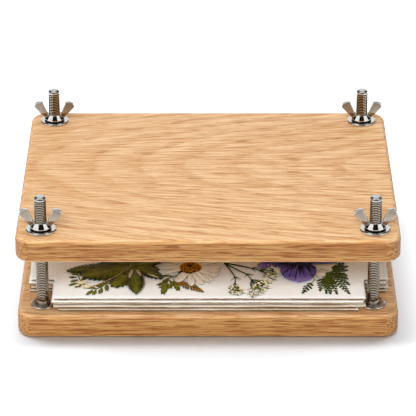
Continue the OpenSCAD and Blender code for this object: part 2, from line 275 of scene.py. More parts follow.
def linkLamps(name, targets, chosen, state):
    group = bpy.data.collections.new(name)
    for target in targets:
        group.objects.link(lit[target])
    for lamp in chosen:
        lamps[lamp].light_linking.receiver_collection = group
    for member in group.collection_objects:
        member.light_linking.link_state = state


setWorld()
floor = addMattCard("studioFloor", 24, 24, "studioFloorWhite", studio["floorColour"], 0.9)
floor.location.z = -0.00005
lamps = {name: addLamp(name, *values) for name, values in studio["lamps"].items()}
lit = {"floor": floor, "board": frame["nodes"]["bottom_board"]}
for name, values in studio["links"].items():
    linkLamps(name, *values)
for name, values in studio["flags"].items():
    addFlag(name, *values)
print("studio set")


def ripple(*place):
    # smooth noise from -1 to 1
    return noise.noise(Vector(place))


def about(middle, radius, angle):
    return middle[0] + radius * cos(angle), middle[1] + radius * sin(angle)


def newShape():
    return {"verts": [], "faces": [], "uvs": [], "finishes": []}


def addVerts(shape, points):
    # a point is x, y, z, and may go on with u, v
    start = len(shape["verts"])
    shape["verts"].extend(tuple(p[:3]) for p in points)
    shape["uvs"].extend(tuple(p[3:]) or (0.0, 0.0) for p in points)
    return start


def addFace(shape, face, finish=0):
    shape["faces"].append(tuple(face))
    shape["finishes"].append(finish)


def addGrid(shape, rows, finish=0, closed=False):
    # rows of equally many points become strips of quads; closed joins each row's ends
    width = len(rows[0])
    start = addVerts(shape, [p for row in rows for p in row])
    for i in range(len(rows) - 1):
        for j in range(width if closed else width - 1):
            a, b = start + i * width + j, start + i * width + (j + 1) % width
            addFace(shape, (a, b, b + width, a + width), finish)
    return start


def spin(shape, profile, segments, middle=(0, 0), finish=0):
    # turns a profile of (radius, height) about a vertical axis; a radius of zero closes it
    rings = []
    for radius, height in profile:
        if radius == 0:
            rings.append([addVerts(shape, [(*middle, height)])] * segments)
            continue
        turns = [2 * pi * k / segments for k in range(segments)]
        start = addVerts(shape, [(*about(middle, radius, turn), height) for turn in turns])
        rings.append(range(start, start + segments))
    for low, high in zip(rings, rings[1:]):
        for k in range(segments):
            n = (k + 1) % segments
            addFace(shape, dict.fromkeys((low[k], low[n], high[n], high[k])), finish)


def rounded(points, radius, steps=4):
    # rounds the corners of an open profile
    out = [points[0]]
    for a, b, c in zip(*[[Vector(p) for p in points[k:]] for k in range(3)]):
        reach = min(radius, (a - b).length * 0.45, (c - b).length * 0.45)
        start, end = b + (a - b).normalized() * reach, b + (c - b).normalized() * reach
        for t in (k / steps for k in range(steps + 1)):
            out.append(tuple(start * (1 - t) ** 2 + b * 2 * t * (1 - t) + end * t * t))
    return out + [points[-1]]


def addPiece(node, shape, finishes, body, sharp=None, thickness=0.0, even=False):
    # the piece takes the name of the node that it replaces, in camel case
    first, *rest = node.split("_")
    name = first + "".join(part.capitalize() for part in rest)
    mesh = bpy.data.meshes.new(name)
    mesh.from_pydata([[c * 0.001 for c in p] for p in shape["verts"]], [], shape["faces"])
    for finish in finishes:
        mesh.materials.append(finish)
    mesh.polygons.foreach_set("material_index", shape["finishes"])
    layer = mesh.uv_layers.new(name="UVMap")
    for loop in mesh.loops:
        layer.data[loop.index].uv = shape["uvs"][loop.vertex_index]
    mesh.validate()
    mesh.shade_smooth()
    if sharp:
        mesh.set_sharp_from_angle(angle=radians(sharp))
    piece = addObject(name, mesh)
    if thickness:
        solid = piece.modifiers.new("thickness", "SOLIDIFY")
        solid.thickness = thickness * 0.001
        solid.offset = 1
    if even:
        piece.modifiers.new("evenShading", "WEIGHTED_NORMAL").keep_sharp = True
    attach(piece, body)
    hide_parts(node)


oak = {
    "light": (245, 204, 154), "dark": (219, 162, 101), "streak": (204, 142, 84), "pore": (166, 100, 50),
    "edgeTint": (186, 165, 124), "ringGap": 0.0085, "slope": 0.24, "depth": 0.075, "fan": 2.2}


def oakFinish(name, shift, centreY, surfaceZ):
    finish, place = newFinish(name)
    moved = vectorCalc("ADD", place, shift)
    x, y, z = split(place)
    steep = steepness()
    side = ramp(steep, (0.25, 1.0), (0.85, 0.0))
    # growth rings about a log's axis that runs away under the board, so its arches point left
    slowWave, fastWave = noiseAt(moved, (9, 22)) - 0.5, noiseAt(moved, (34, 110)) - 0.5
    sideways = y - centreY
    below = z + (oak["depth"] - surfaceZ - x * oak["slope"])
    across = sideways * 0.9
    radius = calc("SQRT", across * across + below * below) + slowWave * 0.011 + fastWave * 0.0016
    ring = calc("FRACT", radius / oak["ringGap"])
    early = ramp(ring, (0.0, 0.1), (0.1, 1.0), (0.34, 0.6), (0.7, 0.08), (1.0, 0.1)) * (1 - side)
    # on the faces the fibres spread to the right like a fan, on the cut sides they run straight
    fan = slowWave * 0.004 + sideways / (x * oak["fan"] + 1.0)
    fanPlace = wire("CombineXYZ", {"X": x, "Y": fan, "Z": z})
    flat = ramp(steep, (0.9, 0.0), (0.99, 1.0))

    def grain(scale, detail, rough):
        straight, spread = [noiseAt(source, scale, detail, rough) for source in (moved, fanPlace)]
        return wire("Mix", {"Factor": flat, 2: straight, 3: spread}, data_type="FLOAT")

    fibre = grain((28, 980), 3.0, 0.6)
    patch = noiseAt(moved, (11, 60), 3.0)
    fine = noiseAt(moved, (330, 900), 2.0, 0.6)
    streak = ramp(fibre, (0.49, 0.0), (0.59, 1.0))
    dash = ramp(grain((62, 1200), 1.0, 0.5), (0.56, 0.0), (0.62, 1.0)) * (side * 0.6 + (early * 0.5 + 0.5))
    shade = early * 0.4 + fibre * 1.5 - 1.14 + patch * 0.3 + fine * 0.9
    colour = blend(shade, oak["light"], oak["dark"])
    # cut sides show more streaks than the faces
    colour = blend(streak * (side * 0.25 + 0.72), colour, oak["streak"])
    colour = blend(dash * 0.68, colour, oak["pore"])
    # partly painted shade: upright faces and rounded edges are multiplied by a darker, deeper side tone,
    # partly their own colour and partly the shade that falls on them
    colour = blend(side, colour, oak["edgeTint"], "MULTIPLY")
    rough = dash * 0.25 + (fibre * 0.2 + 0.36)
    return dress(finish, colour, rough, (streak * -0.5 - dash, 0.25, 0.0002))


def dressNode(name, finish):
    slots = frame["nodes"][name].data.materials
    for i in range(len(slots)):
        slots[i] = finish


dressNode("top_board", oakFinish("oakTop", (0, 0, 0), 0.012, 0.071))
dressNode("bottom_board", oakFinish("oakBottom", (0.7, 0.4, 0.2), -0.03, 0.016))
print("boards dressed")

metal = {
    "grime": (16, 12, 8), "root": (116, 84, 52), "cloud": (160, 150, 138),
    # colour, roughness, scratches, how clouded, whether its roots get painted shade, how crowned
    "kinds": {"Polished": ((236, 233, 229), 0.07, 0.12, 0.12), "Washer": ((218, 215, 210), 0.09, 0.15, 0.15),
        "Flat": ((176, 164, 148), 0.34, 0.3, 0.35), "Rim": ((222, 219, 215), 0.1, 0.2, 0.2),
        "Satin": ((203, 187, 168), 0.3, 0.4, 0.35, False, 0.22),
        "Thread": ((190, 174, 154), 0.1, 0.1, 0.35, True), "Tip": ((222, 220, 216), 0.34, 0.3, 0.3),
        # Grime is near-black: painted shade in the gap under each nut's hub and in the bolt's groove
        "Grime": ((16, 12, 8), 0.5, 0.3, 0.1)}}
boltSizes = {
    "radius": 4.0, "pitch": 1.25, "rootDepth": 0.72, "seat": 5.5, "length": 90.0, "chamfer": 1.2,
    "bandHeight": 1.5, "plainTop": 19.4, "groove": 0.6, "headRadius": 10.25, "headBottom": 0.9,
    "headHeight": 4.6, "headRim": 1.2, "neckSide": 8.4, "neckHeight": 4.4, "neckEdge": 0.35, "columns": 48}
nutSizes = {
    "span": 28.6, "height": 13.8, "wingWidth": 7.2, "rootThick": 3.4, "tipThick": 2.2, "hubRadius": 7.0,
    "hubTopRadius": 4.9, "hubHeight": 4.8, "footRadius": 6.0, "footHeight": 0.75, "rimHeight": 0.85,
    "cornerRadius": 1.05, "lean": 30, "low": 2.4, "sink": 0.8, "shoulder": 0.4, "bore": 4.06,
    "bulges": [(0.3, 1.15), (0.66, 1.0)], "facetTop": 5.6, "facetLean": 0.3, "bevel": [(0.55, 0.0),
        (0.2, 0.12), (0.0, 0.4)]}
washerSizes = {
    "thickness": 1.6, "rim": 0.7, "lowerRadius": 8.4, "lowerPlay": 0.4, "upperRadius": 10.0,
    "upperPlay": 0.25}


def metalFinish(name, colour, roughness, scratches, spread=0.35, roots=False, crown=0.0):
    finish, place = newFinish(name)
    cloud, hair = noiseAt(place, 420, 3.0), noiseAt(place, (5200, 900))
    tone = blend(cloud * spread, colour, metal["cloud"])
    x, y, z = split(place)
    normal = []
    if roots:
        # painted shade: the thread's roots darken to near-black by their distance from the bolt's axis; each
        # bolt's axis is as far out as the others'
        outX, outY = abs(x) - layout["boltX"] * 0.001, abs(y) - layout["boltY"] * 0.001
        radius = calc("SQRT", outX * outX + outY * outY) * (1000 / boltSizes["radius"])
        tone = blend(ramp(radius, (0.9, 0.0), (0.97, 1.0)), metal["grime"], tone)
    if crown:
        # painted reflection: the wings' lower roots are blended towards a brown that stands for the oak they
        # reflect; the faces' shading normals are tipped upwards, as if crowned, so they look up a little
        above = z * 1000 - (layout["nutSeat"] + nutSizes["facetTop"] - 0.5)
        tone = blend(ramp(above, (0.0, 1.0), (0.8, 0.0)) * 0.85, tone, metal["root"])
        lifted = vectorCalc("ADD", wire("NewGeometry", output="Normal"), (0, 0, crown))
        normal = [vectorCalc("NORMALIZE", lifted)]
    rough = cloud * (roughness * 0.6) + roughness * 0.7
    return dress(finish, tone, rough, (hair, scratches, 0.00002, *normal), metallic=1.0)


nickel = {kind: metalFinish("nickel" + kind, *values) for kind, values in metal["kinds"].items()}


def threadRows(shape, low, high, middle):
    # rows follow the helix, four to each turn: root, root, crest, crest
    pitch, columns = boltSizes["pitch"], boltSizes["columns"]
    rows = []
    for turn in range(int((high - low) / pitch) + 3):
        for share, deep in ((0.0, 1.0), (0.17, 1.0), (0.4, 0.0), (0.76, 0.0)):
            row = []
            for k in range(columns + 1):
                z = low + (turn - 1.5 + share + k / columns) * pitch
                fade = min(1, max(0, (z - low) / 2), max(0, (high - z) / 0.8))
                radius = boltSizes["radius"] - boltSizes["rootDepth"] * deep * fade
                row.append((*about(middle, radius, 2 * pi * k / columns), min(max(z, low), high)))
            rows.append(row)
    addGrid(shape, rows)


def buildBolt(corner):
    b, middle = boltSizes, corners[corner]
    radius, top = b["radius"], b["seat"] + b["length"]
    inner, shoulder = radius - b["groove"], top - b["chamfer"]
    bandLow = shoulder - b["bandHeight"]
    shape = newShape()
    threadRows(shape, b["plainTop"], bandLow, middle)
    # the first turn of the thread, a groove, the chamfered end
    tip = [(inner, bandLow - 0.1), (radius, bandLow + 0.2), (radius, bandLow + 0.75),
           (inner, bandLow + 0.95)]
    end = [(inner, shoulder - 0.2), (radius - 0.05, shoulder), (radius - b["chamfer"] - 0.15, top - 0.06),
           (radius - b["chamfer"] - 0.5, top)]
    # the domed head, upside down in its recess
    domeHeight, wide = b["headHeight"] - b["headRim"], b["headRadius"]
    headTop = b["headBottom"] + b["headHeight"]
    domeRadius = (wide ** 2 + domeHeight ** 2) / 2 / domeHeight
    dome = []
    for r in (wide * k / 12 for k in range(13)):
        dome.append((r, b["headBottom"] + domeRadius - sqrt(domeRadius ** 2 - r * r)))
    dome += [(wide, headTop - 0.2), (wide - 0.2, headTop), (0, headTop)]
    shank = [(radius, b["seat"]), (radius, b["plainTop"])]
    # the groove between the thread and the end takes the near-black finish, painted shade
    for profile, finish in ((rounded(tip, 0.1), 2), ([tip[-1], end[0]], 3),
                            (rounded(end, 0.12) + [(0, top)], 1), (shank, 1), (dome, 1)):
        spin(shape, profile, 64, middle, finish)
    # the square neck with rounded edges
    soft = b["neckEdge"]
    flat = b["neckSide"] / 2 - soft
    outline = []
    for cx, cy, start in ((1, 1, 0), (-1, 1, 90), (-1, -1, 180), (1, -1, 270)):
        outline += [about((middle[0] + cx * flat, middle[1] + cy * flat), soft, radians(start + 30 * k))
                    for k in range(4)]
    rows = [[(x, y, z) for x, y in outline] for z in (b["seat"], b["seat"] + b["neckHeight"])]
    start = addGrid(shape, rows, 1, closed=True)
    addFace(shape, [start + len(outline) + k for k in range(len(outline))], 1)
    finishes = [nickel[kind] for kind in ("Thread", "Tip", "Polished", "Grime")]
    addPiece("bolt_" + corner, shape, finishes, "base", sharp=38)


def buildWasher(corner, level, body):
    upper = level == "upper"
    low = layout["plateTop"] if upper else layout["boardTop"]
    inner, outer = boltSizes["radius"] + washerSizes[level + "Play"], washerSizes[level + "Radius"]
    thick, rim = washerSizes["thickness"], washerSizes["rim"]
    high = low + thick
    profile = [(inner, low + 0.2), (inner + 0.2, low), (outer - 0.4, low)]
    for angle in (radians(-90 + 180 * k / 8) for k in range(9)):
        profile.append((outer - rim + rim * cos(angle), low + thick / 2 * (1 + sin(angle))))
    profile += [(inner + 0.25, high), (inner, high - 0.25), (inner, low + 0.2)]
    shape = newShape()
    spin(shape, profile, 72, corners[corner])
    # the lower washers' flat top takes the duller Flat finish and the rim stays polished; the upper washers
    # keep one polished finish
    top = (len(profile) - 4) * 72
    shape["finishes"][top:top + 72] = [1] * 72
    finishes = [nickel["Washer"], nickel["Washer" if upper else "Flat"]]
    addPiece(f"{level}_washer_{corner}", shape, finishes, body, sharp=50)


def wingOutline(grow):
    # the wing's corners with a disc of radius grow run round them, and its end bulging outwards
    n = nutSizes
    r, lean = n["cornerRadius"], radians(n["lean"])
    width = n["wingWidth"] - 2 * r
    tip = Vector((n["span"] / 2 - r, n["height"] - r - width * sin(lean)))
    across, outwards = Vector((-cos(lean), sin(lean))), Vector((sin(lean), cos(lean)))
    points = [Vector((n["hubRadius"] - n["sink"], n["low"])), tip]
    points += [tip + across * width * share + outwards * bulge for share, bulge in n["bulges"]]
    points += [tip + across * width, Vector((n["hubTopRadius"] - 0.1 + n["shoulder"], n["hubHeight"] - r))]
    outline = []
    for i, p in enumerate(points):
        before, after = p - points[i - 1], points[(i + 1) % len(points)] - p
        start = atan2(before.y, before.x) - pi / 2
        sweep = (atan2(after.y, after.x) - pi / 2 - start) % (2 * pi)
        for angle in (start + sweep * k / 5 for k in range(6)):
            outline.append(p + grow * Vector((cos(angle), sin(angle))))
    return outline


def wingHalf(x, z):
    # half of a wing's thickness: thinner to its end, and its lower root leans back under a crease
    n = nutSizes
    share = min(max((abs(x) - n["hubRadius"]) / (n["span"] / 2 - n["hubRadius"]), 0), 1)
    half = (n["rootThick"] + (n["tipThick"] - n["rootThick"]) * share) / 2
    return half - n["facetLean"] * max(0, n["facetTop"] - z) * (1 - share) ** 0.5


def solidObject(name, shape, wing=False):
    # a closed mesh to be joined with others, still in millimetres
    mesh = bpy.data.meshes.new(name)
    mesh.from_pydata(shape["verts"], [], shape["faces"])
    for k in range(4):
        mesh.materials.append(None)
    mesh.polygons.foreach_set("material_index", shape["finishes"])
    solid = bmesh.new()
    solid.from_mesh(mesh)
    bmesh.ops.remove_doubles(solid, verts=solid.verts, dist=1e-5)
    if wing:
        bmesh.ops.bisect_plane(solid, geom=solid.verts[:] + solid.edges[:] + solid.faces[:],
                               plane_co=(0, 0, nutSizes["facetTop"]), plane_no=(0, 0, 1))
        for vert in solid.verts:
            vert.co.y *= wingHalf(vert.co.x, vert.co.z)
    bmesh.ops.recalc_face_normals(solid, faces=solid.faces)
    solid.to_mesh(mesh)
    solid.free()
    return addObject(name, mesh)


def buildNutMesh():
    # hub and wings as closed solids, joined as in a casting
    n = nutSizes
    hub = newShape()
    keys = ("bore", "hubRadius", "footHeight", "hubHeight", "hubTopRadius")
    bore, radius, footTop, hubTop, topRadius = [n[key] for key in keys]
    foot = [(bore + 0.3, 0.0), (n["footRadius"], 0.0), (n["footRadius"], footTop), (radius - 0.3, footTop)]
    cone = rounded([foot[-1], (radius, footTop + 0.25), (radius, footTop + n["rimHeight"]),
                    (topRadius, hubTop - 0.2), (topRadius - 0.22, hubTop), (bore + 0.3, hubTop),
                    (bore, hubTop - 0.3), (bore, 0.3)], 0.16, 3)
    # the foot under the hub takes the near-black finish, painted shade in the gap above the washer
    spin(hub, foot, 96, finish=2)
    spin(hub, cone + [foot[0]], 96)
    cast = solidObject("nutHub", hub)
    layers = [(-1, *step) for step in n["bevel"]] + [(1, *step) for step in reversed(n["bevel"])]
    for side in (1, -1):
        wing = newShape()
        rings = []
        for face, inset, drop in layers:
            outline = wingOutline(n["cornerRadius"] - inset)
            rings.append([(side * q.x, face * side * (1 - drop), q.y) for q in outline])
        start, count = addGrid(wing, rings, 3, closed=True), len(rings[0])
        for first in (start, start + (len(rings) - 1) * count):
            addFace(wing, range(first, first + count), 1)
        union = cast.modifiers.new("join", "BOOLEAN")
        union.operation = "UNION"
        union.solver = "EXACT"
        union.object = solidObject("nutWing", wing, True)
    graph = bpy.context.evaluated_depsgraph_get()
    whole = bpy.data.meshes.new_from_object(cast.evaluated_get(graph))
    for made in [o for o in bpy.data.objects if o.name.startswith(("nutHub", "nutWing"))]:
        bpy.data.objects.remove(made)
    points = [v.co[:] for v in whole.vertices]
    return points, [(tuple(p.vertices), p.material_index) for p in whole.polygons]


def buildNut(corner, points, faces):
    middle = corners[corner]
    shape = newShape()
    addVerts(shape, [(x + middle[0], y + middle[1], z + layout["nutSeat"]) for x, y, z in points])
    for face, finish in faces:
        addFace(shape, face, finish)
    finishes = [nickel[kind] for kind in ("Polished", "Satin", "Grime", "Rim")]
    addPiece("wing_nut_" + corner, shape, finishes, "nut_" + corner, sharp=42, even=True)


nutPoints, nutFaces = buildNutMesh()
for corner in corners:
    buildBolt(corner)
    buildWasher(corner, "lower", "base")
    buildWasher(corner, "upper", "press_plate")
    buildNut(corner, nutPoints, nutFaces)
print("bolts, washers and wing nuts built:", len(nutFaces), "faces in a nut")

# pairs are for blotting paper and card; the lists of seven go from the bottom sheet up
paper = {
    "white": (248, 253, 252), "shade": (232, 232, 227), "old": (242, 236, 222), "oldShade": (184, 156, 120),
    "card": (176, 136, 96), "cardDark": (128, 88, 54), "cardPly": (232, 216, 190), "stain": (172, 140, 102),
    "gap": (44, 28, 16), "thick": (1.2, 1.5), "inset": (0, 1.0), "wide": 67.0, "tongue": 102.7,
    "tongueLow": 98.6, "wave": 0.65, "fray": 0.7, "stepX": 1.6, "stepY": 4.0, "slips": [(0.1, -1.3),
        (-0.5, -0.9), (0.9, -0.9), (0.3, -0.2), (-0.4, -0.8), (0.6, -0.1), (0.8, 0)],
    # how far each sags between its waves
    "sags": [0.2, 1, 1, 1, 0.2, 1, 0],
    # height, push and spread of the two lines along a cut edge: cards bulge low, paper keeps a lip
    "lips": [((0.56, 0.3, 0.2), (0.48, -0.1, 0.2)), ((0.68, -0.3, 0.25), (0.3, 0.5, 0.5))],
    # the bottom sheet's two lines sit high on its edge, so the painted contact shadow below them covers most
    # of it
    "lowestLips": ((0.9, 0.25, 0.1), (0.84, 0.0, 0.1)),
    # which finish each of the three strips between those lines has; the edge finishes are browner and
    # darker, partly the sheets' own edge colour and partly painted shade between the sheets
    "strips": [(0, 1, 2), (1, 0, 0), (0, 1, 1), (2, 0, 1), (1, 1, 0), (1, 2, 2), (0, 1, 1)],
    # two colours, how flecked, the plies' colour and strength, and how foxed
    "kinds": {"blottingPaper": ("white", "shade", 0.5, "stain", 0.8),
        "blottingPaperOld": ("old", "oldShade", 0.6, "stain", 0.7, 0.35),
        # painted contact shadow: a near-black finish for the lowest strip of the bottom sheet's cut edge,
        # where the stack meets the board
        "blottingPaperGap": ("gap", "cardDark", 0.3, "gap", 0.8),
        # the edge finishes: browner strips for the cut edges, partly painted shade between the sheets
        "blottingPaperEdge": ("stain", "card", 0.5, "cardDark", 0.6),
        "cardBoard": ("card", "cardDark", 0.9, "cardPly", 1.0),
        "cardBoardPale": ("old", "cardPly", 0.6, "stain", 0.5),
        "cardBoardEdge": ("cardDark", "card", 0.5, "card", 0.4)},
    "clean": (4, 6)}


def paperFinish(name, light, dark, fleck, edge, edgeStrength, drift=0.0):
    finish, place = newFinish(name)
    cloud, fibre = noiseAt(place, (60, 90), 3.0), noiseAt(place, (700, 2600))
    pulp = noiseAt(place, 1500, 3.0, 0.65)
    tone = cloud * 0.5 + (pulp * fleck - 0.25)
    if drift:
        # foxed in long patches that change from sheet to sheet
        tone = ramp(noiseAt(place, (16, 16, 420), 3.0), (0.42, 0.0), (0.58, 1.0)) * drift + tone
    # plies show as streaks along the cut edges; on the blotters their brown is partly painted shade between
    # the sheets
    ply = ramp(noiseAt(place, (24, 24, 820)), (0.42, 0.0), (0.54, 1.0))
    ply = (ply * 0.7 + 0.3) * ramp(steepness(), (0.5, 1.0), (0.9, 0.0)) * edgeStrength
    colour = blend(ply, blend(tone, light, dark), edge)
    height = noiseAt(place, (90, 150)) * 2.5 + (pulp * 0.6 + fibre * 0.5)
    return dress(finish, colour, pulp * 0.15 + 0.8, (height, 0.45, 0.0003), 0.2)


papers = {kind: paperFinish(kind, paper[light], paper[dark], fleck, paper[edge], *rest)
          for kind, (light, dark, fleck, edge, *rest) in paper["kinds"].items()}


def cuts(limit, mark, step):
    # places along one side: the outline's own corners, and enough between them
    ends = [-limit, -mark, mark, limit]
    out = []
    for a, b in zip(ends, ends[1:]):
        count = max(1, round((b - a) / step))
        out += [a + (b - a) * k / count for k in range(count)]
    return out + [limit]


def wavy(x, y, seed, scale):
    return ripple(x / scale, y / scale * 1.6, seed * 7.31)


def cellRing(i, j):
    return (i, j), (i + 1, j), (i + 1, j + 1), (i, j + 1)


def buildSheet(index):
    isCard = index % 2
    thick, inset, (shiftX, shiftY) = paper["thick"][isCard], paper["inset"][isCard], paper["slips"][index]
    low = layout["boardTop"] + sum(paper["thick"][i % 2] for i in range(index))
    halfX, halfY = layout["sheetW"] / 2 - inset, layout["sheetD"] / 2 - inset
    wide = paper["wide"] - inset
    tongue = paper["tongueLow" if index < 2 else "tongue"] - inset
    xs, ys = cuts(halfX, tongue, paper["stepX"]), cuts(halfY, wide, paper["stepY"])
    # the cells outside the notches
    cells = [(i, j) for i in range(len(xs) - 1) for j in range(len(ys) - 1)
             if abs(xs[i] + xs[i + 1]) / 2 <= tongue or abs(ys[j] + ys[j + 1]) / 2 <= wide]
    used = {}
    for cell in cells:
        for v in cellRing(*cell):
            used[v] = used.get(v, 0) + 1
    inner = {v: k for k, v in enumerate(used)}
    shape = newShape()
    tops, bottoms = [], []
    for (i, j), cellCount in used.items():
        x, y = xs[i], ys[j]
        edge = max(0, 1 - (halfY - abs(y)) / 30, 1 - (halfX - abs(x)) / 26)
        border = cellCount < 4
        if border:
            # frayed edges, drawn inwards only
            pull = paper["fray"] * (0.5 + 0.5 * ripple(x / 1.9, y / 1.9, index * 3.7))
            pull += 0.35 * (0.5 + 0.5 * ripple(x / 17, y / 17, index * 9.1))
            if abs(abs(y) - halfY) < 0.01 or (abs(abs(y) - wide) < 0.01 and abs(x) >= tongue - 0.01):
                y -= copysign(pull, y)
            if abs(abs(x) - halfX) < 0.01 or (abs(abs(x) - tongue) < 0.01 and abs(y) >= wide - 0.01):
                x -= copysign(pull, x)
        amount = paper["wave"] * (0.35 + 0.65 * edge)
        wave = 0.5 + 0.5 * (wavy(x, y, index, 34) + 0.4 * wavy(x, y, index + 20, 11))
        dip = 0.5 + 0.5 * wavy(x, y, index + 40, 48)
        top = low + thick - 0.06 - paper["sags"][index] * amount * wave * 1.3
        if index == 6:
            top -= 0.1 * wave
        bottom = low + 0.03 + amount * dip * 0.9
        if border:
            top -= thick * 0.12
            bottom = low + 0.03 if index == 0 else bottom + thick * 0.2
        tops.append((x + shiftX, y + shiftY, top))
        bottoms.append((x + shiftX, y + shiftY, min(bottom, top - 0.35)))
    count = len(used)
    addVerts(shape, tops + bottoms)
    edges = {}
    for cell in cells:
        ring = [inner[v] for v in cellRing(*cell)]
        addFace(shape, ring)
        addFace(shape, [count + k for k in reversed(ring)])
        for a, b in zip(ring, ring[1:] + ring[:1]):
            if not edges.pop((b, a), False):
                edges[(a, b)] = True
    # the cut edge in three strips
    middles = {}
    for k in dict.fromkeys(k for pair in edges for k in pair):
        x, y, top = tops[k]
        bottom = bottoms[k][2]
        middles[k] = len(shape["verts"])
        for level, push, spread in paper["lowestLips"] if index == 0 else paper["lips"][isCard]:
            push += spread * ripple(x / 9, y / 9, index * 2.3 + level)
            push += 0.15 * ripple(x / 1.3, y / 1.3, index)
            nx = copysign(push, x - shiftX) if abs(x - shiftX) > tongue - 2 else 0
            ny = copysign(push, y - shiftY) if abs(y - shiftY) > wide - 2 else 0
            addVerts(shape, [(x + nx, y + ny, bottom + (top - bottom) * level)])
    for a, b in edges:
        levels = [(a, b), (middles[a], middles[b]), (middles[a] + 1, middles[b] + 1), (count + a, count + b)]
        for strip, first, second in zip(paper["strips"][index], levels, levels[1:]):
            addFace(shape, (first[1], first[0], *second), strip)
    kind = "cardBoard" if isCard else "blottingPaper"
    first = kind if isCard or index in paper["clean"] else kind + "Old"
    # the blotters' third finish, used on the bottom sheet alone, is the painted contact shadow
    finishes = [papers[name] for name in (first, kind + "Edge", kind + ("Pale" if isCard else "Gap"))]
    addPiece(("card_" if isCard else "blotting_sheet_") + str(index // 2 + 1), shape, finishes, "base",
             sharp=70)


for index in range(7):
    buildSheet(index)
print("sheets and cards built")


def onSheet(shareX, shareY, level=0.0):
    height = layout["paperTop"] + level * layout["petalStep"]
    return shareX * layout["sheetW"], shareY * layout["sheetD"], height


def shifted(place, x=0.0, y=0.0, z=0.0):
    return place[0] + x, place[1] + y, place[2] + z


def turned(rows, turn, origin):
    c, s = cos(radians(turn)), sin(radians(turn))
    return [[(*shifted(origin, x * c - y * s, x * s + y * c, z), *uv) for x, y, z, *uv in row]
            for row in rows]


def reached(origin, turn, distance, lift=0.0):
    return *about(origin, distance, radians(turn)), origin[2] + lift


def addTube(shape, points, radii, sides=6, finish=0, flat=1.0):
    # a stalk along the points, slightly pressed flat
    rows = []
    for k, p in enumerate(points):
        ahead = Vector(points[min(k + 1, len(points) - 1)]) - Vector(points[max(k - 1, 0)])
        side = Vector((-ahead.y, ahead.x, 0)).normalized()
        up = ahead.cross(side).normalized()
        up = -up if up.z < 0 else up
        radius = radii[k] if isinstance(radii, list) else radii
        angles = [-2 * pi * n / sides for n in range(sides)]
        rows.append([Vector(p) + side * radius * cos(a) + up * radius * flat * sin(a) for a in angles])
    addGrid(shape, rows, finish, closed=True)


def bent(start, end, bow, steps=6, lift=0.0):
    # points from start to end that bow sideways by a share of the length
    a, b = Vector(start), Vector(end)
    side = Vector((-(b - a).y, (b - a).x, 0)) * bow + Vector((0, 0, lift))
    return [tuple(a.lerp(b, t) + side * 4 * t * (1 - t)) for t in (k / steps for k in range(steps + 1))]


def addBlade(shape, origin, turn, length, width, teeth, tooth, widest=0.5, blunt=0.7, foot=0.0, crown=0.5,
             bow=0.0, seed=0, finish=0):
    # a toothed leaf blade with a sunk midrib and raised fields between its side veins
    rows = []
    sides = (1, 0.84, 0.56, 0.28, 0.08, 0, -0.08, -0.28, -0.56, -0.84, -1)
    # each tooth: its phase, how far out and how far ahead
    bite = [(0.0, -0.15, 0.0), (0.3, 0.3, 0.15), (0.6, 0.8, 0.45), (0.78, 1.0, 0.7), (0.88, 0.2, 0.3)]
    for k, (phase, out, ahead) in ((k, step) for k in range(teeth) for step in bite):
        t = (k + phase) / teeth
        full = sin(pi * min(0.995, max(0.005, t ** (log(0.5) / log(widest))))) ** blunt
        half = width / 2 * full * (min(1, t / foot) if foot else 1)
        row = []
        for s in sides:
            edge = abs(s) == 1
            y = s * half + (copysign(tooth * out * min(1, full * 1.2), s) if edge else 0)
            x = (t + (ahead / teeth if edge and tooth > 0.3 else 0)) * length
            vein = min(0.3, width * 0.02) * cos(2 * pi * (t * teeth / 2 - abs(s) * 1.2))
            z = crown * (1 - s * s) * full ** 0.6 + vein * abs(s) ** 0.6 * (1.15 - abs(s))
            z += 0.25 + 0.25 * ripple(t * 3 + seed, s * 1.3, seed * 2.7) - 0.28 * exp(-(s * 9) ** 2)
            row.append((x, y + bow * length * t * t, max(0.02, z), t, 0.5 + s / 2))
        rows.append(row)
    rows.append([(length * 1.01, bow * length, 0.1, 1.0, 0.5)] * len(sides))
    addGrid(shape, turned(rows, turn, origin), finish)


def addLobe(shape, origin, turn, length, width, lobes, seed, lift=0.25, cut=0.55):
    # a small lobed leaflet: each side runs out into rounded lobes that point forward
    rows = []
    for t in (k / lobes / 6 for k in range(lobes * 6)):
        phase = (t * lobes) % 1
        base = width / 2 * (0.25 + 0.75 * sin(pi * min(1, 0.12 + t * 0.9)) ** 0.8)
        reach = base * (1 - cut + cut * sin(pi * min(1, phase * 0.78 + 0.1)) ** 1.2)
        rows.append([(t * length + length / lobes * 0.55 * phase * abs(s), s * reach,
                      lift * (1 - s * s) + 0.16 * (1 + ripple(t * 4, s * 2, seed)), t, 0.5 + s / 2)
                     for s in (1, 0.5, 0, -0.5, -1)])
    rows.append([(length, 0, 0.08, 1.0, 0.5)] * 5)
    addGrid(shape, turned(rows, turn, origin))


def addFrond(shape, origin, turn, length, width, leaflets, wide, stem, seed, bow, bare):
    # a rib with pairs of lobed leaflets, longest near its foot; bare is the share with none
    def spot(t):
        return reached(reached(origin, turn, t * length), turn + 90, bow * length * t * t)

    shares = [k / 8 for k in range(9)]
    radii = [stem * (1 - 0.75 * t) for t in shares]
    addTube(shape, [shifted(spot(t), z=0.3) for t in shares], radii, 5, 1, 0.6)
    step = (1 - bare) / leaflets
    for k in range(1, leaflets + 1):
        t = (k - 0.5) / leaflets
        reach = 0.6 + 0.4 * t / 0.3 if t < 0.3 else ((1 - t) / 0.7) ** 0.7
        reach *= width / 2 / sin(radians(58))
        t = bare + t * (1 - bare)
        for side in (-1, 1):
            wobble = 9 * ripple(k * 1.7, side * 3.1, seed + turn * 0.1)
            angle = turn + side * 44 + wobble + degrees(atan(2 * bow * t))
            addLobe(shape, spot(t + 0.12 * side * step), angle, reach * (1 + wobble * 0.012),
                    length * step * wide, 2, seed + k, 0.3, 0.4)
    addLobe(shape, spot(1 - step), turn, length * step, length * step * wide, 2, seed)


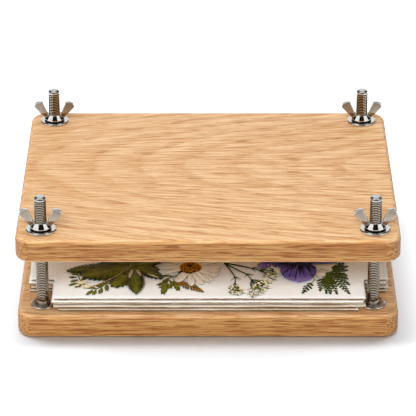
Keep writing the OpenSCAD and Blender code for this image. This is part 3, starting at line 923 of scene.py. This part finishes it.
def addPetal(shape, origin, turn, length, width, foot, widest, grooves, depth, cup, ruffle, seed, notch=0.0,
             steps=18, bow=0.0, fan=False):
    # with fan the rays run straight out from the foot, not along the edges
    rows = []
    for t in (k / steps for k in range(steps + 1)):
        if t < widest:
            half = foot / 2 + (width - foot) / 2 * sin(pi / 2 * t / widest)
        else:
            half = width / 2 * sqrt(max(0, 1 - ((t - widest) / (1 - widest)) ** 2.6))
        row = []
        for s in (1 - 2 * k / 12 for k in range(13)):
            groove = depth * cos(2 * pi * s * grooves / 2) * (1 - abs(s) ** 4)
            z = 0.15 + cup * s * s * t + groove * sin(pi * min(1, t + 0.15))
            z += ruffle * t * t * ripple(s * 2.2 + seed, t * 2.0, seed * 1.9)
            rim = 1 + ruffle * 0.045 * ripple(s * 6 + seed, seed * 3.3, t) * t
            x = t * length * (rim if t > 0.5 else 1)
            x -= notch * length * max(0, t - 0.9) * 10 * (0.5 + 0.5 * cos(3 * pi * s)) * (1 - s * s)
            y = s * max(half, 0.02) * rim + bow * length * t * t
            row.append((x, y, max(0.02, z), t, 0.5 + (atan2(y, x + foot * 0.3) / 1.6 if fan else s / 2)))
        rows.append(row)
    addGrid(shape, turned(rows, turn, origin))


def addBlossom(shape, centre, radius, start):
    # a tiny open flower: five petals of a few points each round a domed eye
    for turn in (start + 360 * n / 5 for n in range(5)):
        rows = [[(t * radius, s * half * radius, (0.35 * t * t + 0.1 * s * s) * radius) for s in (1, 0, -1)]
                for t, half in ((0.12, 0.1), (0.55, 0.33), (0.85, 0.3), (1.0, 0.08))]
        addGrid(shape, turned(rows, turn, centre), 2)
    eye = radius * 0.26
    x, y, z = centre
    spin(shape, [(eye, z), (eye * 0.8, z + eye * 0.6), (0, z + eye * 0.9)], 6, (x, y), 3)


def leafFinish(name, light, deep, veinColour, veins, veinStrength):
    # colour and fine relief follow the blade: u runs from foot to tip, v from edge to edge
    finish, place = newFinish(name)
    u, v = split(wire("TexCoord", output="UV"))[:2]
    out = abs(v - 0.5)
    cloud, grainy = noiseAt(place, 130, 3.0), noiseAt(place, 1400)
    # painted shade: the blade is darkened towards its edges
    tone = ramp(out, (0.22, 0.0), (0.5, 1.0)) * 0.55 + (grainy * 0.6 + (cloud * 1.5 - 0.6))
    line = ramp(calc("FRACT", u * veins - out * 2.6), (0.0, 1.0), (0.07, 0.0), (0.93, 0.0), (1.0, 1.0))
    rib = ramp(out, (0.0, 1.0), (0.02, 0.8), (0.045, 0.0))
    vein = calc("MAXIMUM", line, rib) * veinStrength
    colour = blend(vein, blend(tone, light, deep), veinColour)
    return dress(finish, colour, 0.5, (grainy * 0.6 - vein, 0.5, 0.0002), 0.12)


def petalFinish(name, light, dark, rays, rayStrength, foot, footReach, rim=None, edgeShade=1.0, rayReach=0.3):
    # fine rays run out from the petal's foot, which has a colour of its own
    finish, place = newFinish(name)
    source = wire("TexCoord", output="UV")
    u, v = split(source)[:2]
    fine = noiseAt(source, (1.6, rays, 1), 3.0, 0.6)
    ray = ramp(fine, (0.44, 0.0), (0.6, 1.0))
    tone = noiseAt(place, 160) * 0.5 + (ray * rayStrength - 0.2)
    # painted shade: each petal darkens towards its edges, so that the petals stand apart; on the daisy the
    # darker rays stand partly for shade in the grooves
    paintedEdgeShade = ramp(abs(v - 0.5), (0.4, 0.0), (0.5, 1.0))
    colour = blend(paintedEdgeShade * edgeShade, blend(tone, light, dark), dark)
    if rim:
        colour = blend(ramp(u, (0.72, 0.0), (0.98, 1.0)) * 0.7, colour, rim)
    near = ray * rayReach + (footReach - u)
    colour = blend(ramp(near, (0.0, 0.0), (0.3, 1.0)), colour, foot)
    return dress(finish, colour, 0.6, (fine, 0.5, 0.0003), 0.08)


def speckFinish(name, light, dark, scale=900):
    finish, place = newFinish(name)
    speck = noiseAt(place, scale, 3.0, 0.6)
    colour = blend(ramp(speck, (0.35, 0.0), (0.65, 1.0)), light, dark)
    return dress(finish, colour, 0.7, (speck, 0.5, 0.0002), 0.08)


compoundLeaf = {
    "place": (-0.208, -0.265), "tooth": 1.8, "toothStep": 2.6,
    # turn, length, width, where it is widest, how blunt, bare share at its foot
    "leaflets": [(187.5, 44.5, 12.5, 0.5, 0.6, 0), (205, 37, 21.5, 0.5, 0.45, 0),
        (246, 32, 12.5, 0.62, 0.55, 0.2), (275.2, 39.5, 9.0, 0.56, 0.8, 0.3), (315, 26, 8.5, 0.5, 0.62, 0.2),
        (339, 17.5, 9.5, 0.5, 0.6, 0), (25, 22, 9, 0.5, 0.6, 0), (70, 29, 13, 0.5, 0.6, 0),
        (115, 31, 15, 0.5, 0.6, 0), (155, 27, 13, 0.5, 0.6, 0)],
    # offset from the hub, turn, length, width; the last entry is no bract but a thin pale blade, a painted
    # highlight along a leaflet
    "bracts": [(-0.9, -6.0, 262, 12.5, 2.7), (1.9, -6.0, 287, 10.5, 2.7), (9.0, -12.0, 322, 10, 1.3)],
    # turn and length
    "stalks": [(80, 20), (235, 7), (300, 7), (180, 9), (273, 10)], "light": (118, 118, 28),
    "deep": (32, 34, 4), "vein": (142, 142, 56)}


def buildCompoundLeaf():
    c = compoundLeaf
    shape = newShape()
    hub = onSheet(*c["place"], 1)
    for k, (turn, length, width, *form) in enumerate(c["leaflets"]):
        addBlade(shape, shifted(hub, z=0.09 * ((k * 3) % 5)), turn, length, width,
                 round(length / c["toothStep"]), c["tooth"], *form, crown=0.6, bow=0.03 * (-1) ** k,
                 seed=k * 1.37)
    # narrow pale bracts between the lower leaflets, a thin pale blade as painted highlight, and stalks under
    # them
    for x, y, turn, length, width in c["bracts"]:
        addBlade(shape, shifted(hub, x, y, 0.55), turn, length, width, 6, 0, blunt=0.8, seed=turn, finish=1)
    for turn, length in c["stalks"]:
        addTube(shape, bent(shifted(hub, z=0.5), reached(hub, turn, length, 0.4), 0.03), 0.5, 6, 2, 0.7)
    addPiece("compound_leaf", shape,
             [leafFinish("leafOlive", c["light"], c["deep"], c["vein"], 9, 0.45),
              leafFinish("bractPale", (218, 206, 178), (176, 160, 122), (236, 228, 206), 5, 0.4),
              speckFinish("stalkOlive", (118, 124, 50), (74, 80, 24))],
             "base", thickness=0.12)


blossomSprig = {
    "joint": (-79.1, -80.2),
    # two shoots from the joint, and leaflets as offset from it, turn and length
    "shoots": [[(0, 0), (-5.3, 9.6), (-7.9, 20)], [(0, 0), (5.9, -1.5), (11.2, 4.5), (15.8, 13.4)]],
    "leaflets": [(-7.9, 14.8, 170, 4.8), (-5.6, 8.2, 213, 7.5), (-7.2, 18.5, 158, 4.6),
        (-6.6, 11.1, 205, 5.2), (-6.9, 17, 38, 4.2), (-5.3, 10.4, 54, 5), (-3.6, 5.2, 223, 6),
        (-7.8, 19.5, 100, 4), (3.3, -2.2, 243, 7.4), (5.3, -2.2, 259, 6.6), (9.2, 0.7, 262, 7.8),
        (12.2, 5.2, 272, 8.4), (6.6, -1.2, 153, 6.4), (10.5, 3.3, 173, 4.2), (13.2, 7.4, 198, 5.4),
        (15.2, 11.9, 180, 4), (15.8, 13.4, 77, 5.4), (8.4, 0.2, 120, 5), (12.6, 6.4, 100, 5)],
    "leafletWidth": 2.0, "blossoms": [(-4.7, 7.3), (-2.8, 4.2), (-6.1, 5.2), (-7.0, 2.5), (-3.3, 0.4),
        (-1.9, -1.2), (-0.7, 1.5), (0.2, -1.6), (-7.8, 5.6), (-2.1, 7.3), (-4.9, 3.6)], "blossomRadius": 1.5,
    "light": (130, 124, 28), "deep": (70, 70, 8), "petal": (252, 248, 226), "eye": (214, 190, 60),
    "stem": (196, 166, 132)}


def buildBlossomSprig():
    c = blossomSprig
    shape = newShape()
    joint = (*c["joint"], layout["paperTop"])
    for shoot in c["shoots"]:
        radii = [0.42 - 0.07 * k for k in range(len(shoot))]
        addTube(shape, [shifted(joint, x, y, 0.45) for x, y in shoot], radii, 6, 1)
    for k, (x, y, turn, length) in enumerate(c["leaflets"]):
        addBlade(shape, shifted(joint, x, y, 0.1 * (k % 4)), turn, length, c["leafletWidth"], 3, 0.6, 0.55,
                 0.6, crown=0.4, seed=k)
    for k, (x, y) in enumerate(c["blossoms"]):
        radius = c["blossomRadius"] * (0.85 + 0.3 * ((k * 7) % 4) / 3)
        addBlossom(shape, shifted(joint, x, y, 0.8 + 0.35 * ((k * 5) % 3)), radius, 47 * k)
    hub = onSheet(*compoundLeaf["place"], 1)
    addTube(shape, bent(shifted(hub, -2, -1, 1.1), shifted(joint, z=0.5), 0.07, 10), 0.36, 6, 4)
    addPiece("blossom_sprig", shape,
             [leafFinish("sprigLeaf", c["light"], c["deep"], (176, 172, 92), 3, 0.3),
              speckFinish("sprigStalk", (120, 118, 48), (84, 84, 26)),
              speckFinish("blossomPetal", c["petal"], (234, 226, 190)),
              speckFinish("blossomEye", c["eye"], (160, 140, 30)),
              speckFinish("stemPink", c["stem"], (140, 104, 82))],
             "base", thickness=0.1)


parsley = {
    "place": (-0.109, -0.354),
    # lobes as offset from the place, turn, length, width, teeth
    "lobes": [(-1.3, -6.5, 261, 15.0, 3.4, 4), (0.0, -3.0, 226, 9.5, 2.8, 3), (-1.0, -8.0, 235, 7.0, 2.2, 2),
        (-0.8, -7.5, 284, 6.5, 2.2, 2), (0.4, -2.5, 292, 6.0, 2.4, 2), (0.0, 0.5, 240, 6.0, 2.8, 3),
        (3.6, -5.0, 283, 12.0, 3.0, 4), (3.2, -4.0, 256, 7.2, 2.2, 2), (3.8, -4.5, 311, 7.0, 2.4, 2),
        (3.6, 2.5, 333, 7.0, 2.6, 3), (4.4, 3.5, 20, 7.5, 2.6, 3), (6.5, 4.5, 338, 8.0, 2.6, 3),
        (6.0, 6.5, 62, 7.0, 2.4, 3), (2.0, 3.0, 176, 5.0, 2.4, 2)],
    # midribs under the lobes, all from one point
    "ribs": [[(2.5, 2.5), (0, -1), (-1.6, -9), (-3.2, -17)], [(2.5, 2.5), (3, -2), (4, -8), (5, -14)],
        [(2.5, 2.5), (4, 2), (9, 8), (13, 13)]], "light": (120, 116, 28), "deep": (62, 62, 8)}


def buildParsley():
    c = parsley
    shape = newShape()
    foot = onSheet(*c["place"])
    for k, (x, y, turn, length, width, teeth) in enumerate(c["lobes"]):
        addBlade(shape, shifted(foot, x, y, 0.05 * (k % 4)), turn, length, width, teeth, 0.55, 0.62, 0.6,
                 crown=0.45, seed=k)
    for rib in c["ribs"]:
        addTube(shape, [shifted(foot, x, y, 0.5) for x, y in rib], [0.4, 0.34, 0.26, 0.16], 5, 1)
    addPiece("parsley_sprig", shape,
             [leafFinish("parsleyLeaf", c["light"], c["deep"], (160, 162, 60), 2, 0.35),
              speckFinish("parsleyStalk", (140, 146, 60), (96, 100, 34))],
             "base", thickness=0.1)


ferns = {
    # fronds as turn, length and share without leaflets; the leaf's two colours and its veins'; the rib's two
    "brown_fern_tip": {"place": (-0.087, -0.378, 1), "width": 12.0, "step": 2.35, "wide": 0.62, "stem": 0.32,
        "seed": 21, "fronds": [(318.6, 23.5, 0.0)], "slot": "brown_leaf",
        "leaf": ("fernRust", (168, 108, 28), (84, 68, 12), (196, 150, 80)),
        "rib": ("rustStalk", (120, 74, 36), (84, 52, 24))},
    "fern_leaf": {"place": (0.33, -0.272), "width": 8.4, "step": 3.5, "wide": 0.52, "stem": 0.36, "seed": 31,
        "fronds": [(245.5, 40, 0.58), (259.5, 33.5, 0.15), (267.5, 37, 0.1), (274, 37.5, 0.15),
            (281, 38, 0.15), (290.5, 40, 0.2), (299, 29, 0.15), (309, 22, 0.1), (322, 18, 0.2),
            (343, 15, 0.2), (3, 15, 0.15), (22, 14, 0.1)], "slot": "fern_green",
        "leaf": ("fernGreen", (92, 106, 24), (28, 34, 6), (104, 120, 54)),
        "rib": ("fernRib", (88, 88, 40), (50, 52, 20))}}


def buildFern(node):
    c = ferns[node]
    shape = newShape()
    foot = onSheet(*c["place"])
    for k, (turn, length, bare) in enumerate(c["fronds"]):
        addFrond(shape, shifted(foot, z=0.07 * (k % 4)), turn, length, c["width"] * (0.8 + 0.2 * (k % 2)),
                 round(length * (1 - bare) / c["step"]), c["wide"], c["stem"], c["seed"] + k,
                 0.04 * sin(k * 1.3), bare)
    addPiece(node, shape, [leafFinish(*c["leaf"], 3, 0.3), speckFinish(*c["rib"])], "base",
             thickness=0.1)


daisy = {
    "place": (-0.049, -0.281), "radius": 26.5, "petalWidth": 5.5, "footShare": 0.42, "discRadius": 7.7,
    "discHeight": 2.2, "discShift": 1.5, "buds": 120, "budSize": 0.52,
    # turn, share of the radius, width against the usual
    "petals": [(271.5, 0.98, 0.9), (286.3, 0.97, 0.85), (300, 0.97, 0.7), (310, 0.9, 0.75), (321, 0.84, 0.8),
        (333, 0.8, 0.85), (345, 0.77, 0.9), (358, 0.76, 0.95), (12, 0.74, 0.95), (30, 0.78, 1),
        (52, 0.84, 1), (76, 0.95, 1), (98, 1, 1), (121, 0.95, 1), (143, 0.85, 1), (163, 0.72, 0.8),
        (182, 0.76, 0.75), (205, 0.72, 0.85), (246, 0.85, 1.15)], "white": (255, 252, 240),
    "shade": (178, 158, 120), "gold": (222, 150, 20), "brown": (74, 38, 4)}


def buildDaisy():
    c = daisy
    petals = newShape()
    middle = onSheet(*c["place"], 2)
    width = c["petalWidth"]
    for k, (turn, share, wide) in enumerate(c["petals"]):
        addPetal(petals, shifted(middle, z=0.16 * ((k * 2) % 5)), turn, c["radius"] * share, width * wide,
                 width * c["footShare"], 0.68, 3, 0.3, -0.5, 0.5, k * 0.91, 0.035, bow=0.03 * sin(k * 1.9))
    addPiece("daisy_petals", petals,
             [petalFinish("daisyWhite", c["white"], c["shade"], 9, 0.36, (196, 186, 140), 0.15)],
             "base", thickness=0.12)
    # the disc: a low button of buds in a spiral; the button under them is dark brown, painted shade in the
    # gaps between the buds and round its rim, and the buds in its middle and a few others are brown
    disc = newShape()
    base = layout["paperTop"] + 3 * layout["petalStep"] - 0.25
    radius, height = c["discRadius"], c["discHeight"]

    def topAt(r):
        return base + (height - 0.3) * max(0, 1 - (r / radius) ** 4) ** 0.6

    centre = (middle[0], middle[1] - c["discShift"])
    steps = [radius * k / 10 for k in range(10, -1, -1)]
    spin(disc, [(radius, base - 0.1)] + [(r, topAt(r)) for r in steps], 40, centre, 1)
    for k in range(c["buds"]):
        r = (radius - c["budSize"] * 0.8) * sqrt((k + 0.5) / c["buds"])
        top, size = topAt(r), c["budSize"] * (0.75 + 0.25 * r / radius)
        bud = [(size * 0.9, top - 0.15), (size, top + 0.1), (size * 0.7, top + 0.36), (0, top + 0.42)]
        spin(disc, bud, 8, about(centre, r, radians(137.508 * k)), int(r < radius * 0.2 or k * 7 % 9 == 0))
    addPiece("daisy_disc", disc, [speckFinish("discGold", c["gold"], (180, 106, 10), 1500),
                                  speckFinish("discBrown", c["brown"], (48, 24, 4), 1500)],
             "base")


umbels = {
    "place": (0.046, -0.24), "stalk": 21.0,
    # stalk's turn and share, head's turn and share, florets, half width, half length, height, tilt
    "heads": [(289, 1, 271, 0.9, 26, 4.6, 7.6, 1.5, 12), (313, 1, 292, 1.02, 46, 5.4, 13.5, 1.8, -24),
        (337, 0.93, 330, 0.68, 34, 4.8, 10.0, 1.7, 0)], "green": (66, 68, 16), "cream": (255, 253, 240),
    "eye": (146, 142, 46)}


def addFloret(shape, spot, split, n):
    # a floret with long petals that lean outwards
    x, y, z = spot
    outwards = degrees(atan2(y - split[1], x - split[0]))
    for m in range(3):
        lean = outwards + (-48, 4, 54)[m] + 14 * sin(n * 2.7 + m)
        size = (2.0, 3.0, 2.0)[m] + 0.5 * sin(n * 1.7 + m * 2)
        rows = [[(t * size, w * q * size, 0.1 + 0.28 * t + 0.15 * q * q) for q in (1, 0, -1)]
                for t, w in ((0.05, 0.07), (0.45, 0.18), (0.8, 0.17), (1.0, 0.05))]
        addGrid(shape, turned(rows, lean, spot), 1 if (n + m) % 6 else 2)
    spin(shape, [(0.34, z), (0.28, z + 0.3), (0, z + 0.42)], 6, (x, y), 3)


def buildUmbels():
    c = umbels
    shape = newShape()
    foot = onSheet(*c["place"])
    forks = []
    for k, (turn, stalkShare, headTurn, headShare, count, wide, long, height, tilt) in enumerate(c["heads"]):
        fork = reached(foot, turn, c["stalk"] * stalkShare)
        reach = c["stalk"] * headShare
        head = reached(fork, headTurn, reach)
        stalk = [shifted(p, z=0.5) for p in bent(foot, fork, 0.02 * (-1) ** k, 8)]
        addTube(shape, stalk, [0.46 - 0.012 * n for n in range(9)])
        split = reached(fork, headTurn, reach * 0.42, 0.5)
        addTube(shape, bent(shifted(fork, z=0.5), split, 0.03, 5), 0.34)
        forks.append((shifted(fork, z=0.5), headTurn))
        tiltCos, tiltSin = cos(radians(tilt)), sin(radians(tilt))
        for n in range(count):
            share = sqrt((n + 1.5) / (count + 1))
            angle = radians(137.5 * n)
            along, across = long * share * cos(angle), wide * share * sin(angle)
            stray = 0.8 * ripple(n * 1.9, k * 3.3, 0.5)
            up = 0.7 + height * (1 - share * share) * (0.75 + 0.25 * sin(n * 2.1))
            spot = shifted(head, across * tiltCos + along * tiltSin + stray,
                           across * tiltSin - along * tiltCos - stray * 2, up)
            x, y, z = spot
            if n % 3 == 0:
                addTube(shape, bent(split, shifted(spot, z=-0.1), 0.04 * sin(n), 4, 0.2), 0.17, 4)
            # green sepals below each floret
            spin(shape, [(1.0, z - 0.5), (0.85, z - 0.1), (0, z + 0.1)], 7, (x, y), 0)
            if share < 0.42:
                # green buds in the head's middle
                spin(shape, [(0.55, z - 0.3), (0.62, z + 0.2), (0, z + 0.7)], 7, (x, y), 3)
            else:
                addFloret(shape, spot, split, n)
    # small bracts where the stalks fork
    for fork, turn in forks:
        for lean in (-34, 28, 52):
            line = bent(fork, reached(fork, turn + lean, 6, -0.1), 0.08, 4)
            addTube(shape, line, [0.28, 0.24, 0.2, 0.14, 0.06], 4)
    addPiece("umbel_spray", shape,
             [speckFinish("umbelStalk", c["green"], (40, 42, 8)),
              speckFinish("umbelCream", c["cream"], (240, 232, 200)),
              speckFinish("umbelFaded", (206, 196, 140), (150, 144, 76)),
              speckFinish("umbelEye", c["eye"], (110, 116, 40))],
             "base")


pansy = {
    "place": (0.262, -0.232), "length": 28.5, "footShare": 0.2, "shift": 2.0,
    # turn, length and width of each petal, the last two as shares of the length above
    "pale": [(230, 0.82, 0.36), (302, 1, 0.5), (328, 0.92, 0.42), (350, 0.9, 0.4)],
    "violet": [(270, 1.05, 0.84), (196, 1, 0.4), (1, 0.97, 0.34), (55, 0.9, 0.75), (118, 0.9, 0.75)],
    "violetLight": (118, 102, 188), "violetDark": (64, 38, 98), "heart": (18, 6, 26), "rim": (164, 144, 192),
    "paleLight": (240, 240, 232), "paleDark": (146, 134, 106)}


def buildPansy():
    c = pansy
    for level, kind in ((1, "pale"), (2, "violet")):
        shape = newShape()
        middle = shifted(onSheet(*c["place"], level), -c["shift"])
        violet = kind == "violet"
        for k, (turn, long, wide) in enumerate(c[kind]):
            addPetal(shape, shifted(middle, z=0.1 * (k % 3) + 0.3 * violet), turn, c["length"] * long,
                     c["length"] * wide, c["length"] * c["footShare"], 0.36 if violet else 0.6, 5, 0.1, 0.2,
                     0.9, k * 1.7 + level, steps=22, fan=True)
        name, light, dark = "pansy" + kind.capitalize(), c[kind + "Light"], c[kind + "Dark"]
        if violet:
            finish = petalFinish(name, light, dark, 26, 0.7, c["heart"], 0.29, c["rim"], 0.0, 0.72)
            # the small eye where the petals meet
            x, y, z = middle
            spin(shape, [(1.1, z + 0.5), (1.0, z + 0.9), (0, z + 1.1)], 12, (x, y), 1)
        else:
            finish = petalFinish(name, light, dark, 24, 0.7, (190, 174, 120), 0.25)
        eye = speckFinish("pansyEye" + kind.capitalize(), (220, 180, 60), (150, 110, 30))
        addPiece(f"pansy_{kind}_petals", shape, [finish, eye], "base", thickness=0.12)


buildCompoundLeaf()
buildBlossomSprig()
buildParsley()
buildFern("brown_fern_tip")
buildDaisy()
buildUmbels()
buildFern("fern_leaf")
buildPansy()
print("pressed plants built")
